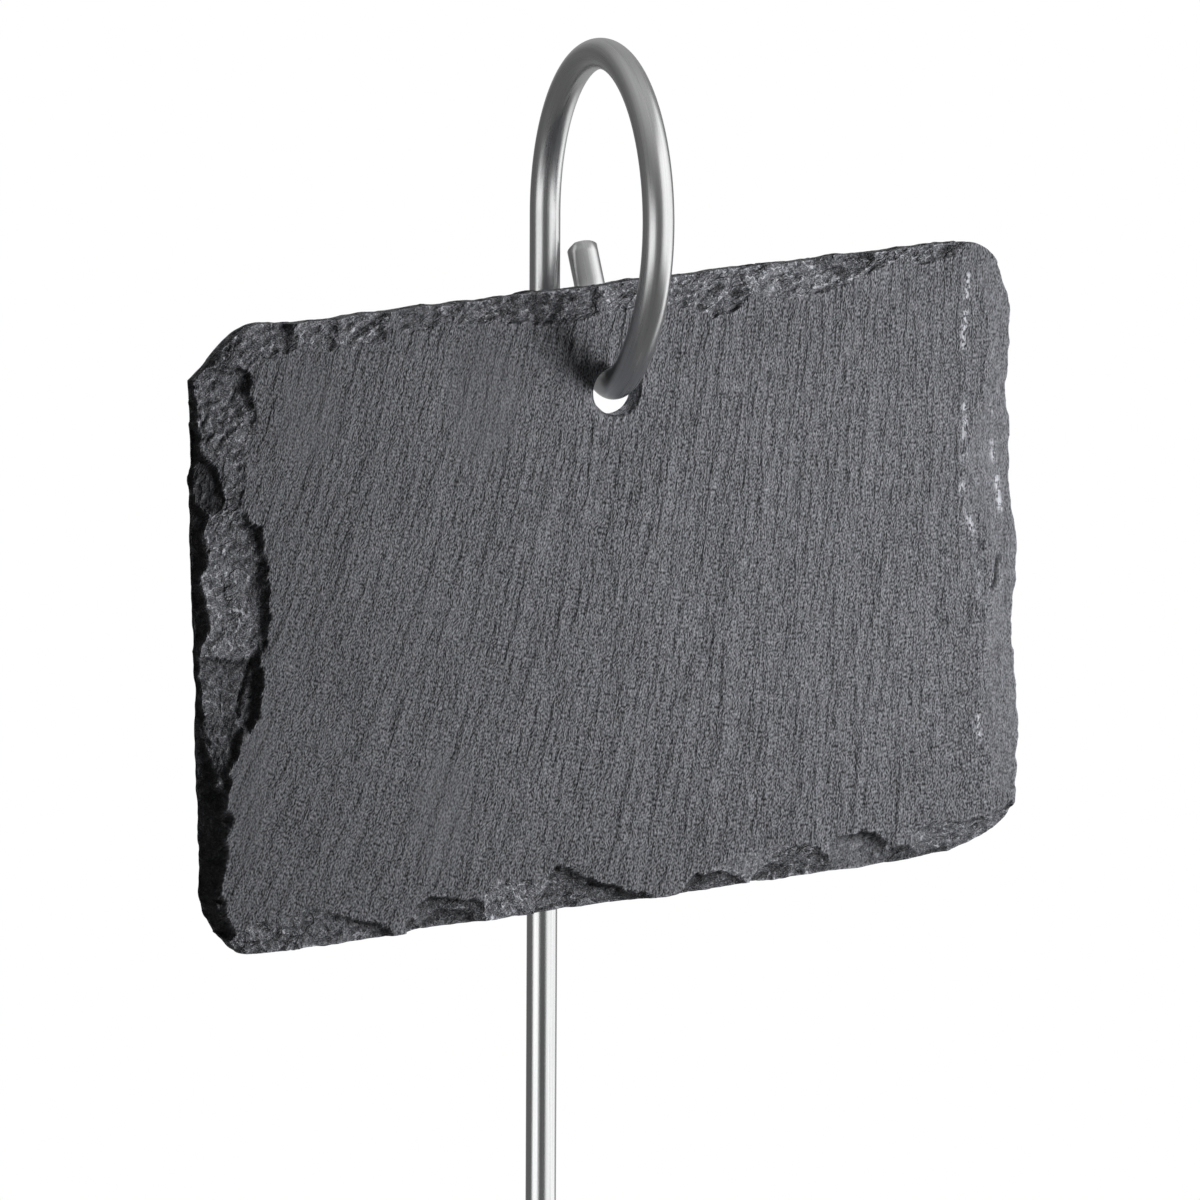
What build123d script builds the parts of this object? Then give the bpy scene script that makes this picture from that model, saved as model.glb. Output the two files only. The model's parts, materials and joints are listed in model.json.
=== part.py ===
from build123d import *
import os
from math import cos, hypot, radians, sin, sqrt, tan

os.makedirs("parts", exist_ok=True)

# All sizes are in millimetres and all angles in degrees.
# The ground line is z = 0, the shank's axis is x = y = 0, and the slate's face looks towards -Y.

# Wire stake
WIRE_D = 4.0
GROUND_DEPTH = 150.0
POINT_LENGTH = 8.0
POINT_D = 1.2

# Ring bent at the top of the wire, and the free end that leans back over it
RING_HEIGHT = 227.0
RING_R = 21.0
FLAT_TURN = 215.0
RING_TURN = 332.0
SIDE_STEP = 5.25
END_BEND = 10.5
END_BEND_R = 6.0
END_LENGTH = 5.3
NIP_ANGLE = 30.0
NIP_OFFSET = 1.4

# Slate plaque, whose top and bottom edges rise to the right and whose sides lean
SLATE_W = 110.0
SLATE_H = 79.0
SLATE_T = 4.5
EDGE_SLOPE = 5.5
SIDE_LEAN = 1.6
TOP_LEFT_CUT = (5.9, 7.1)
BOTTOM_LEFT_CUT = (8.5, 5.3)
TOP_RIGHT_R = 7.5
BOTTOM_RIGHT_R = 9.0

# Drilled hole and how it sits on the ring
HOLE_D = 6.2
HOLE_BELOW_TOP = 13.5
HOLE_BREAK = 0.3
SEAT_GAP = 0.3

# Dressed front edge: a narrow bevel all round, then chip scars of these lengths and widths
BEVEL = 1.8
SCAR_DEPTH = 3.0
LEFT_SCARS = (15.0, 7.4)
TOP_SCARS = (12.0, 4.2)
RIGHT_SCARS = (17.0, 5.4)
BOTTOM_SCARS = (15.0, 4.6)
SCAR_OVERLAP = 1.3
SCAR_SPREAD = 0.22


# Centre line of the ring: a flat arc, then a tail whose arc is tipped about the wire to step sideways
ring_centre = Vector(0, -RING_R, RING_HEIGHT)
sideways = Vector(1, 0, 0)
flat_inward = Vector(0, -cos(radians(FLAT_TURN)), -sin(radians(FLAT_TURN)))
flat_along = Vector(0, -sin(radians(FLAT_TURN)), cos(radians(FLAT_TURN)))
flat_end = ring_centre - flat_inward * RING_R
tail_turn = RING_TURN - FLAT_TURN
tip_sine = SIDE_STEP / (RING_R * (1 - cos(radians(tail_turn))))
tail_inward = flat_inward * sqrt(1 - tip_sine**2) + sideways * tip_sine
tail_centre = flat_end + tail_inward * RING_R
tail_axis = Axis(tail_centre, flat_along.cross(tail_inward))


def ring_point(turn):
    """Point on the ring's centre line after this turn from the shank."""
    if turn <= FLAT_TURN:
        return ring_centre + Vector(0, cos(radians(turn)), sin(radians(turn))) * RING_R
    past = radians(turn - FLAT_TURN)
    return tail_centre - tail_inward * (RING_R * cos(past)) + flat_along * (RING_R * sin(past))


# Wire: ground point, shank, flat arc, tail and the short bend of the free end
shank_foot = POINT_LENGTH - GROUND_DEPTH
shank_length = RING_HEIGHT - shank_foot
upward = (Align.CENTER, Align.CENTER, Align.MIN)
shank = Pos(0, 0, shank_foot) * Cylinder(WIRE_D / 2, shank_length, align=upward)
point = Pos(0, 0, -GROUND_DEPTH) * Cone(POINT_D / 2, WIRE_D / 2, POINT_LENGTH, align=upward)
ring_axis = Axis(ring_centre, sideways)
section = Pos(0, 0, RING_HEIGHT) * Circle(WIRE_D / 2)
flat_arc = revolve(section, ring_axis, FLAT_TURN)
tail_section = section.rotate(ring_axis, FLAT_TURN)
tail = revolve(tail_section, tail_axis, tail_turn)
tail_along = tail_inward * sin(radians(tail_turn)) + flat_along * cos(radians(tail_turn))
aside = tail_inward.cross(flat_along)
bend_centre = ring_point(RING_TURN) + aside * END_BEND_R
bend_axis = Axis(bend_centre, tail_along.cross(aside))
bend = revolve(tail_section.rotate(tail_axis, tail_turn), bend_axis, END_BEND)

# Sheared free end: a short straight length, cut square, with a slanting nip on the shank's side
end_along = tail_along * cos(radians(END_BEND)) + aside * sin(radians(END_BEND))
to_shank = aside * cos(radians(END_BEND)) - tail_along * sin(radians(END_BEND))
bend_end = bend_centre - to_shank * END_BEND_R
free_end = Plane(origin=bend_end, z_dir=end_along) * Cylinder(WIRE_D / 2, END_LENGTH, align=upward)
nip_normal = end_along * cos(radians(NIP_ANGLE)) + to_shank * sin(radians(NIP_ANGLE))
nip_foot = bend_end + end_along * END_LENGTH + to_shank * NIP_OFFSET
nip_plane = Plane(origin=nip_foot, z_dir=nip_normal)
free_end = free_end - nip_plane * Box(2 * WIRE_D, 2 * WIRE_D, 2 * WIRE_D, align=upward)
wire_stake = shank + point + flat_arc + tail + bend + free_end

# Slate's place: the hole's top rests on the ring's lowest point
ring_low = ring_point(270)
hole_x = ring_low.X
hole_z = ring_low.Z + WIRE_D / 2 + SEAT_GAP - HOLE_D / 2
mid_z = hole_z + HOLE_BELOW_TOP - SLATE_H / 2
back_y = ring_low.Y + SLATE_T / 2
front_y = back_y - SLATE_T


def corner(side, level):
    """Where a side edge meets the top or bottom edge, as a point (x, z)."""
    slope = tan(radians(EDGE_SLOPE))
    lean = tan(radians(SIDE_LEAN))
    x = (side * SLATE_W - lean * level * SLATE_H) / 2 / (1 + lean * slope)
    return hole_x + x, mid_z + level * SLATE_H / 2 + slope * x


def along(start, end, distance):
    """Point at a distance from start towards end."""
    share = distance / hypot(end[0] - start[0], end[1] - start[1])
    return start[0] + (end[0] - start[0]) * share, start[1] + (end[1] - start[1]) * share


# Slate's outline, with two corners cut off and two rounded
top_left = corner(-1, 1)
top_right = corner(1, 1)
bottom_right = corner(1, -1)
bottom_left = corner(-1, -1)
left_high = along(top_left, bottom_left, TOP_LEFT_CUT[0])
top_start = along(top_left, top_right, TOP_LEFT_CUT[1])
left_low = along(bottom_left, top_left, BOTTOM_LEFT_CUT[0])
bottom_end = along(bottom_left, bottom_right, BOTTOM_LEFT_CUT[1])
outline = make_face(
    Polyline(left_high, top_start, top_right, bottom_right, bottom_end, left_low, close=True)
)
outline = fillet(outline.vertices().sort_by_distance((*top_right, 0))[0], TOP_RIGHT_R)
outline = fillet(outline.vertices().sort_by_distance((*bottom_right, 0))[0], BOTTOM_RIGHT_R)
slate_plaque = extrude(Plane.XZ.offset(-back_y) * outline, SLATE_T)
slate_plaque = chamfer(slate_plaque.faces().sort_by(Axis.Y)[0].edges(), BEVEL)


def scar(foot, out, length, width):
    """Ball that takes a shell-shaped chip of this length and width off the front edge at foot."""
    half = length / 2
    aside = (half**2 - width**2) / (2 * width)
    ahead = (half**2 - SCAR_DEPTH**2) / (2 * SCAR_DEPTH)
    radius = hypot(aside + width, ahead)
    return Pos(foot[0] + out[0] * aside, front_y - ahead, foot[1] + out[1] * aside) * Sphere(radius)


def dressed(start, end, scars, phase):
    """Overlapping chips of uneven size from start to end, with the slate on the right-hand side."""
    pitch, width = scars
    length = hypot(end[0] - start[0], end[1] - start[1])
    count = max(1, round(length / pitch))
    out = ((start[1] - end[1]) / length, (end[0] - start[0]) / length)
    chips = []
    for i in range(count):
        swing = 1 + SCAR_SPREAD * sin(2.4 * i + phase)
        foot = along(start, end, length * (i + 0.5) / count)
        chips.append(scar(foot, out, SCAR_OVERLAP * swing * length / count, width * swing))
    return chips


# Chip scars on the four edges and the two cut corners
dressed_edges = (
    (left_low, left_high, LEFT_SCARS),
    (left_high, top_start, TOP_SCARS),
    (top_start, top_right, TOP_SCARS),
    (top_right, bottom_right, RIGHT_SCARS),
    (bottom_right, bottom_end, BOTTOM_SCARS),
    (bottom_end, left_low, BOTTOM_SCARS),
)
for i, (start, end, scars) in enumerate(dressed_edges):
    for chip in dressed(start, end, scars, i):
        slate_plaque = slate_plaque - chip

# Hole with its rims broken on both faces
drill = Plane.XZ.offset(-back_y) * Pos(hole_x, hole_z) * Cylinder(HOLE_D / 2, SLATE_T, align=upward)
slate_plaque = slate_plaque - drill
rims = slate_plaque.edges().filter_by(GeomType.CIRCLE).filter_by(lambda e: abs(e.radius - HOLE_D / 2) < 1e-3)
slate_plaque = chamfer(rims, HOLE_BREAK)

export_step(wire_stake, "parts/wire_stake.step")
export_step(slate_plaque, "parts/slate_plaque.step")
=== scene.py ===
import json
from collections import namedtuple
from math import cos, pi, radians, sin, tan

import bpy
import numpy as np
from mathutils import Matrix, Vector


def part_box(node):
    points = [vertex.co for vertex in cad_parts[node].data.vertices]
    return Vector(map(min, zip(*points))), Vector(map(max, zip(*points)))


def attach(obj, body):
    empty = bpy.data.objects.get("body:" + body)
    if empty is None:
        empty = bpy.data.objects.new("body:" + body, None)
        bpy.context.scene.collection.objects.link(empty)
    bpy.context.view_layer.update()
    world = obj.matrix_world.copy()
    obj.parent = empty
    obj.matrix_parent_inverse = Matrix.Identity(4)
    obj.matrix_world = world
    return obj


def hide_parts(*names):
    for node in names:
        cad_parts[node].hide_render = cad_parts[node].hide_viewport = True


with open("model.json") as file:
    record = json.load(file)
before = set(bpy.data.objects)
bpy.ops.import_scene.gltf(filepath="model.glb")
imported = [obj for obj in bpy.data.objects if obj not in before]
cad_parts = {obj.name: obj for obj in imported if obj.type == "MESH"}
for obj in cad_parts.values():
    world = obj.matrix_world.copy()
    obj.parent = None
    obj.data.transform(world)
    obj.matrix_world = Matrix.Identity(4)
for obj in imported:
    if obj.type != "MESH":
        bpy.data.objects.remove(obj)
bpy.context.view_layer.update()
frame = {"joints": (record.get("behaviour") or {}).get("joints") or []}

MM = 0.001

# Camera of the photograph: it stands to the left of straight on and looks a little down
CAMERA_YAW = radians(20.14)
CAMERA_PITCH = radians(5.0)
CAMERA_ROLL = radians(0.29)
CAMERA_DISTANCE = 1.0458
CAMERA_AIM = Vector((7.87, 0.0, 176.28)) * MM
LENS_MM = 240.0
SENSOR_MM = 36.0

# Wire, in millimetres
WIRE_R = 2.0
RING_R = 21.0
RING_HEIGHT = 227.0
FLAT_TURN = radians(215)
RING_TURN = radians(332)
END_BEND = radians(10.5)
END_BEND_R = 6.0
END_LENGTH = 5.3
END_BREAK = 0.12
NIP_ANGLE = radians(30)
NIP_OFFSET = 1.4
NIPPED_STRETCH = 2.0
POINT_LENGTH = 8.0
POINT_R = 0.6

# Steps of the wire's mesh, and rows of its cut end as shares of the radius
WIRE_SIDES = 64
TIP_STEP = 0.25
POINT_STEP = 1.0
SHANK_STEP = 6.0
RING_STEP = radians(1.25)
END_BEND_STEPS = 7
END_STEPS = 4
CUT_ROWS = (1 - END_BREAK / WIRE_R, 0.8, 0.6, 0.4, 0.2)

# Slate, in millimetres; x runs to the right and z upwards, as its face is seen
SLATE_T = 4.5
THINNEST_EDGE = 0.6
PROUDEST = 0.15
HOLE_R = 3.1
SEAT_GAP = 0.3
HOLE_BREAK = 0.3
BORE_ROUGH = 0.02
BORE_GRAIN = 0.9
RIM_CHIP = 0.6
RIM_CHIP_AT = radians(225)
RIM_CHIP_SPREAD = radians(45)
RIM_FALL = 1.2

# Mesh of the slate: fine steps in a band along the edges, and a grid that stops short of the hole's rim
FACE_SIZE = (108.0, 77.0)
FACE_STEP = 0.45
FINE_STEP = 0.22
FINE_BAND = 12.0
CURVE_STEPS = 24
RIM_CLEAR = 4.8
RIM_ROWS = 7
WALL_ROWS = 8
BORE_ROWS = 6

# Outline of the slate's front by edge, each from left to right or upwards; neighbours share a corner
LEFT_EDGE = [
    (-51.0, 137.4), (-52.4, 140.3), (-52.8, 143.0), (-52.9, 151.3), (-53.3, 161.9),
    (-53.5, 173.4), (-53.8, 180.2), (-54.2, 194.4), (-54.0, 197.6), (-54.4, 207.1),
]
TOP_EDGE = [
    (-54.4, 207.1), (-47.5, 213.7), (-40.5, 214.3), (-17.4, 216.7), (17.5, 220.4),
    (36.9, 222.3), (50.1, 223.5), (52.9, 222.3), (54.6, 219.9),
]
RIGHT_EDGE = [
    (56.1, 148.6), (57.1, 150.9), (57.5, 157.2), (56.8, 172.3), (57.05, 183.4),
    (56.3, 191.5), (55.7, 204.6), (56.1, 213.5), (54.6, 219.9),
]
BOTTOM_EDGE = [
    (-51.0, 137.4), (-47.6, 134.7), (-21.4, 137.2), (-0.2, 139.1), (30.4, 142.1),
    (43.2, 143.5), (48.4, 144.5), (53.5, 146.6), (56.1, 148.6),
]

# Small bites in the outline, which fade out over a few steps at the corners
BITES = {"bottom": 0.12, "top": 0.15, "left": 0.16, "right": 0.28}
BITE_SIZE = 4.0
BITE_FADE = 12

# Chip scars on the front: the edge they are struck from, their depth there, how rough and how pale they are,
# and the line where they break off the face as points (x, z, height of the ledge)
Scar = namedtuple("Scar", "edge depth rough tone border")
SCARS = [
    Scar("left", 3.2, 0.8, 0.9, [(-50.5, 152.5, 0.3), (-50.0, 156.7, 0.8), (-49.0, 159.6, 1.2),
        (-48.1, 163.3, 1.4), (-47.9, 164.2, 0.8), (-47.9, 166.2, 0.6)]),
    Scar("left", 3.0, 0.8, 0.9, [(-48.6, 162.2, 0.6), (-47.4, 163.4, 1.2), (-46.3, 164.6, 1.6),
        (-45.8, 168.5, 1.9), (-46.0, 170.6, 1.9), (-45.9, 172.8, 1.6), (-45.5, 173.8, 1.0)]),
    Scar("left", 2.0, 0.9, 1.25, [(-46.8, 170.6, 0.6), (-45.7, 173.0, 1.0), (-44.9, 176.0, 1.5),
        (-44.8, 178.4, 1.8), (-45.0, 181.9, 1.8), (-45.7, 186.8, 1.6), (-45.9, 188.7, 1.4),
        (-47.5, 189.2, 0.9), (-48.6, 190.8, 0.5), (-50.4, 191.8, 0.3)]),
    Scar("left", 3.4, 0.6, 0.6, [(-50.4, 189.5, 0.6), (-50.5, 192.0, 1.2), (-50.9, 194.5, 1.7),
        (-51.8, 196.2, 1.6), (-52.9, 198.2, 1.0), (-54.0, 200.2, 0.2)]),
    Scar("left", 1.8, 0.9, 1.1, [(-48.0, 189.5, 0.1), (-48.5, 193.5, 0.12), (-48.2, 197.7, 0.12),
        (-47.2, 200.3, 0.15), (-46.4, 203.3, 0.6), (-46.8, 205.0, 1.3), (-47.2, 206.7, 1.7),
        (-47.5, 208.0, 1.5), (-48.2, 208.8, 0.9), (-49.6, 209.6, 0.1), (-52.0, 211.5, 0.0)]),
    Scar("top", 1.3, 1.1, 1.0, [(-54.4, 206.0, 0.0), (-51.5, 208.0, 0.05), (-49.6, 209.6, 0.1),
        (-47.6, 209.1, 0.15), (-45.8, 209.2, 0.2), (-44.9, 209.7, 0.35), (-43.5, 210.6, 0.3),
        (-42.3, 210.5, 0.1)]),
    Scar("top", 1.8, 1.0, 0.8, [(-44.9, 211.0, 0.3), (-43.5, 210.4, 0.7), (-42.3, 210.4, 0.7),
        (-41.5, 211.1, 0.4), (-40.6, 212.2, 0.2)]),
    Scar("top", 1.2, 1.2, 1.1, [(-41.8, 211.3, 0.15), (-40.6, 211.6, 0.2), (-38.6, 211.3, 0.5),
        (-36.2, 210.8, 0.6), (-35.5, 211.5, 0.2)]),
    Scar("top", 1.2, 1.3, 1.1, [(-36.2, 211.2, 0.2), (-33.0, 211.2, 0.3), (-30.8, 211.5, 0.25),
        (-28.5, 212.5, 0.1)]),
    Scar("top", 0.9, 0.8, 0.95, [(-29.0, 212.6, 0.15), (-25.0, 213.0, 0.1), (-23.1, 213.2, 0.15),
        (-21.0, 214.1, 0.1)]),
    Scar("top", 1.3, 1.2, 0.95, [(-22.0, 214.0, 0.1), (-17.1, 213.8, 0.2), (-14.0, 213.6, 0.3),
        (-9.0, 213.4, 0.4), (-5.0, 213.6, 0.3), (0.0, 214.6, 0.1)]),
    Scar("top", 1.2, 1.1, 1.05, [(-1.0, 214.8, 0.1), (4.0, 215.4, 0.2), (8.0, 215.6, 0.2),
        (12.7, 214.9, 0.3), (13.8, 215.3, 0.1)]),
    Scar("top", 1.6, 1.2, 1.05, [(11.0, 215.6, 0.1), (13.0, 214.9, 0.3), (15.7, 214.6, 0.5),
        (17.6, 215.3, 0.45), (19.5, 216.4, 0.2), (20.5, 217.2, 0.0)]),
    Scar("top", 1.3, 1.2, 1.15, [(18.0, 216.6, 0.1), (21.2, 216.8, 0.25), (24.0, 216.5, 0.35),
        (27.3, 216.8, 0.4), (28.5, 217.6, 0.1)]),
    Scar("top", 1.3, 1.1, 1.1, [(25.5, 217.8, 0.1), (27.5, 217.1, 0.35), (30.0, 217.4, 0.5),
        (32.8, 218.2, 0.4), (34.5, 219.2, 0.1)]),
    Scar("top", 2.2, 1.0, 0.8, [(27.5, 219.6, 0.1), (30.0, 219.0, 0.4), (32.5, 219.3, 0.7),
        (35.0, 219.9, 0.6), (38.0, 221.2, 0.1)]),
    Scar("top", 1.1, 1.2, 1.15, [(32.0, 218.6, 0.1), (34.9, 219.2, 0.25), (36.9, 220.2, 0.25),
        (39.5, 220.9, 0.2), (41.0, 221.6, 0.05)]),
    Scar("top", 1.4, 1.1, 1.0, [(38.0, 221.4, 0.05), (40.5, 221.3, 0.3), (42.5, 220.9, 0.4),
        (44.5, 221.1, 0.35), (46.5, 221.9, 0.1)]),
    Scar("top", 1.5, 0.9, 0.95, [(44.0, 222.0, 0.1), (45.5, 221.5, 0.35), (47.3, 221.6, 0.4),
        (49.0, 222.3, 0.3), (51.0, 223.2, 0.0)]),
    Scar("right", 0.8, 0.15, 1.08, [(53.8, 152.2, 0.05), (52.7, 161.4, 0.08), (52.9, 173.5, 0.1),
        (54.0, 178.1, 0.1), (52.9, 184.3, 0.1), (52.5, 186.2, 0.08), (50.3, 190.2, 0.08),
        (50.0, 194.9, 0.1), (50.8, 199.3, 0.1), (51.8, 203.1, 0.06), (53.0, 208.3, 0.05),
        (52.2, 216.1, 0.05), (50.0, 221.0, 0.05)]),
    Scar("bottom", 0.9, 1.1, 1.05, [(-51.0, 137.4, 0.0), (-49.2, 137.2, 0.1), (-47.5, 138.6, 0.15),
        (-45.0, 138.7, 0.15), (-42.2, 139.2, 0.15), (-40.3, 140.5, 0.1), (-39.0, 140.6, 0.05)]),
    Scar("bottom", 1.5, 0.8, 1.0, [(-41.0, 140.8, 0.1), (-39.4, 140.4, 0.3), (-36.8, 139.8, 0.5),
        (-34.2, 138.9, 0.9), (-31.5, 138.3, 1.2), (-29.2, 137.7, 1.1), (-28.0, 136.9, 0.2)]),
    Scar("bottom", 1.7, 1.0, 0.8, [(-26.8, 138.2, 0.0), (-26.0, 139.3, 0.3), (-24.6, 140.8, 0.7),
        (-23.2, 141.2, 0.9), (-20.8, 141.1, 1.0), (-18.0, 140.8, 1.0), (-16.6, 140.4, 0.9),
        (-15.5, 138.9, 0.2)]),
    Scar("bottom", 2.4, 0.8, 0.7, [(-24.6, 138.4, 0.2), (-22.6, 139.6, 1.6), (-20.0, 139.9, 1.9),
        (-17.8, 139.5, 1.8), (-16.0, 138.4, 0.3)]),
    Scar("bottom", 1.0, 1.1, 1.25, [(-16.8, 141.2, 0.1), (-15.7, 142.2, 0.3), (-14.0, 142.9, 0.35),
        (-11.8, 142.7, 0.35), (-8.4, 142.5, 0.25), (-6.1, 142.8, 0.2), (-4.0, 142.5, 0.1)]),
    Scar("bottom", 2.3, 1.0, 0.75, [(-9.6, 138.4, 0.0), (-8.4, 141.0, 0.2), (-7.2, 143.6, 0.3),
        (-6.4, 144.5, 0.5), (-5.7, 144.2, 0.8), (-4.0, 143.5, 1.2), (-2.0, 142.9, 1.6), (-0.1, 142.3, 1.8),
        (3.2, 141.3, 1.5), (6.3, 140.5, 0.6), (7.4, 139.9, 0.1)]),
    Scar("bottom", 2.0, 1.0, 0.7, [(8.6, 140.2, 0.0), (10.9, 141.1, 0.25), (12.2, 142.3, 0.7),
        (14.3, 143.1, 1.1), (16.2, 143.2, 1.2), (18.6, 142.6, 1.0), (20.5, 141.6, 0.2)]),
    Scar("bottom", 1.0, 0.5, 1.25, [(14.5, 143.6, 0.05), (15.7, 144.2, 0.15), (18.0, 144.9, 0.2),
        (21.9, 145.5, 0.25), (23.0, 144.5, 0.2)]),
    Scar("bottom", 2.0, 1.0, 0.7, [(20.4, 142.0, 0.1), (21.9, 143.4, 0.5), (23.5, 144.3, 0.8),
        (25.2, 144.2, 1.0), (27.0, 143.9, 0.9), (28.9, 143.2, 0.3)]),
    Scar("bottom", 1.5, 1.0, 0.9, [(22.6, 145.4, 0.05), (24.0, 146.0, 0.3), (25.5, 146.1, 0.4),
        (28.0, 146.1, 0.5), (29.2, 145.5, 0.6), (30.2, 144.6, 0.6), (31.4, 143.5, 0.5),
        (32.5, 142.7, 0.2)]),
    Scar("bottom", 1.9, 0.4, 0.9, [(31.0, 146.7, 0.05), (32.3, 147.2, 0.25), (34.5, 147.4, 0.8),
        (36.2, 147.4, 1.6), (37.4, 147.0, 1.7), (38.4, 146.3, 1.2), (39.6, 145.7, 0.3),
        (40.5, 145.2, 0.05)]),
    Scar("bottom", 1.7, 0.9, 0.65, [(37.5, 144.6, 0.1), (38.6, 145.1, 0.5), (40.2, 145.1, 0.8),
        (42.5, 145.2, 0.9), (44.9, 145.3, 0.8), (46.5, 145.5, 0.5), (48.4, 146.0, 0.1)]),
    Scar("bottom", 1.3, 0.8, 0.9, [(42.4, 146.9, 0.05), (43.7, 147.5, 0.3), (46.0, 148.2, 0.4),
        (48.9, 148.6, 0.4), (52.4, 148.5, 0.25), (54.7, 149.7, 0.15), (57.0, 151.2, 0.05)]),
]

# Form of the scars: walls that are wider under a higher ledge, tapered ends and wandering borders
WALL_WIDTH = 0.15
WALL_SPREAD = 0.25
WALL_VARIES = 0.7
WALL_VARY_SIZE = 4.0
FULL_REACH = 1.5
LEAST_REACH = 0.1
SCAR_ENDS = {"left": 2.2, "top": 2.0, "right": 1.0, "bottom": 0.6}
BORDER_WANDER = 0.35
BORDER_SIZE = 2.0

# Depth at which a scar has its full tone, and depths between which the stone comes to be broken
TONE_DEPTH = 0.15
BROKEN_DEPTHS = (0.02, 0.25)

# Painted shade in the tone at the foot of the ledges, between two ledge heights, and its width for each mm
# of ledge
LEDGE_SHADE = 0.7
LEDGE_HEIGHTS = (0.15, 0.9)
FOOT_WIDTH = 0.25
LEDGE_FOOT = {"left": 0.6, "bottom": 0.35}

# Layers of the stone that show as steps in the scars
LAYER = 0.42
LAYER_SWAY = 0.9
LAYER_SIZE = 2.6
LAYER_EDGE = 0.7
LAYER_SHARE = 0.4

# Shards in the scars: slant, how many times longer than wide, widths and heights; broken faces are flat
SHARD_SLANT = radians(38)
SHARD_STRETCH = 2.2
SHARDS = [(1.2, 0.35), (0.55, 0.2)]
SHARP_FROM = 0.3

# Steep outer rim of the left edge: how far in it reaches at places along it, and its form and tone; the tone
# is painted shade that darkens the rim
LEFT_RIM = [
    (135, 0.5), (140.4, 2.1), (148, 2.4), (155, 2.5), (161, 1.8), (164, 1.0), (167, 0.4), (173.5, 0.3),
    (175, 1.0), (184, 1.1), (188, 1.4), (190.5, 1.3), (192, 0.3), (209, 0.4),
]
RIM_VARIES = 0.45
RIM_VARY_SIZE = 2.8
RIM_ENDS = 0.9
RIM_CURVE = 0.9
RIM_START = 0.3
RIM_ROUGH = 0.6
RIM_PAINTED_SHADE = 0.3

# Cracks in the front: the points they run through, their half width and depth
Crack = namedtuple("Crack", "points half_width depth")
CRACKS = [
    Crack([(54.6, 182.8), (53.8, 178.6)], 0.30, 0.8),
    Crack([(-46.9, 171.5), (-47.7, 168.7), (-48.6, 165.3)], 0.30, 0.6),
    Crack([(51.9, 184.8), (52.3, 183.6)], 0.25, 0.5),
]

# Relief of the cleft face: which way it runs (x, z), its waves and its ripples
Relief = namedtuple("Relief", "stretch size height")
CLEFT_WAY = (0.30, 0.95)
CLEFT_WAVES = Relief(4, 5.0, 0.08)
CLEFT_RIPPLES = Relief(3, 1.6, 0.03)

# Back and side walls, whose bumps are finer through the thickness than along it
BACK_INSET = 0.12
BACK_RELIEF = 0.10
BACK_SIZE = 14.0
WALL_ROUGH = 0.14
WALL_BULGE = 0.10
WALL_GRAIN = 3.5
WALL_LAYERS = 9

# Pale mica flecks near the right edge: the lines that they follow, and their patches
FLECK_LINES = [
    [(49.8, 219.4), (49.3, 212.0), (49.6, 200.0), (49.1, 191.5),
     (51.6, 183.0), (51.0, 172.0), (51.9, 159.0)],
    [(53.9, 212.0), (53.3, 199.0), (54.8, 189.0)],
]
FLECK_SPREAD = 0.4
FLECK_PATCH = 2.2
FLECK_FULL = 0.4

# Calm parts of the face, where streaks are faint: patches (centre, half width and height) and both ends
CALM_PATCHES = [
    (-16.5, 204.0, 6.0, 10.0), (-22.0, 152.0, 5.0, 9.0), (-40.0, 203.0, 5.0, 8.0), (-48.0, 160.0, 4.0, 16.0),
]
PATCH_CALM = 0.67
PATCH_FADE = (1.3, 0.5)
LEFT_CALM = 0.25
LEFT_CALM_FROM = (20, -60)
RIGHT_CALM = 0.45
RIGHT_CALM_FROM = (-0.3, 0.6)
CALM_STREAKS = 0.4

# Streaks of the cleft face at each scale, the same through the thickness, and their angles at both ends
Streak = namedtuple("Streak", "width length tone relief")
STREAKS = [
    Streak(0.18, 0.36, 5.0, 0.20),
    Streak(0.38, 1.6, 1.6, 0.42),
    Streak(0.80, 6.5, 0.6, 0.60),
    Streak(1.6, 12.0, 0.4, 0.66),
    Streak(3.2, 20.0, 0.3, 0.6),
    Streak(6.4, 26.0, 0.25, 0.0),
]
STREAK_WANDER = 0.6
WANDER_SIZE = 2.2
STREAK_ANGLES = (radians(67), radians(90))
FACE_MIDDLE = (0.0, 0.0, 180.0)
FACE_SPAN = 110.0
FAR = 1e9

# Flakes, which break up the longer streaks towards the left end
FLAKES_FROM = (25, -40)
FLAKED_STREAKS = 0.8
FLAKE_SIZE = 0.7
FLAKE_TONE = 0.3
FLAKE_RELIEF = 0.1

# Tones of the slate, and its roughness
SLATE_TINT = (0.955, 0.97, 1.05)
FACE_TONE = 0.105
FACE_GRAIN = 0.70
DARKEST_GRAIN = 0.25
CHIP_TONE = 0.093
# Pale crystal specks in the chips, which carry painted glints
PALE_CRYSTAL_AND_GLINT_TONE = 0.38
FLECK_TONE = 0.42
WALL_TONE = 0.75
# Hole wall: paler with drill dust, and brighter still as painted light, since it faces away from the lamps
DRILLED_DUST_AND_LIGHT = 3.5
SLATE_ROUGH = 0.65
SLATE_ROUGH_SWING = 0.4
SLATE_SPECULAR = 0.12

# Where the tones change on the mesh
FRONT_SKIN = 0.02
BACK_SKIN = 0.5
DRILLED_MARGIN = 0.1
DRILLED_START = 0.2

# Worn crests, which are paler, and grooves, which are darker with painted shade
FULL_BEND = 0.25
BEND_PASSES = 2
CREST_WEAR_AND_GROOVE_SHADE = 0.7
GROOVE_SHADE_LEAST = 0.35

# Broken stone: size, strength in stops and relief of its crystals, lumps and clumps
Grain = namedtuple("Grain", "size stops relief")
CHIP_GRAINS = [Grain(0.20, 4.8, 0.18), Grain(0.7, 1.8, 0.30), Grain(2.4, 1.4, 0.0)]

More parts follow.
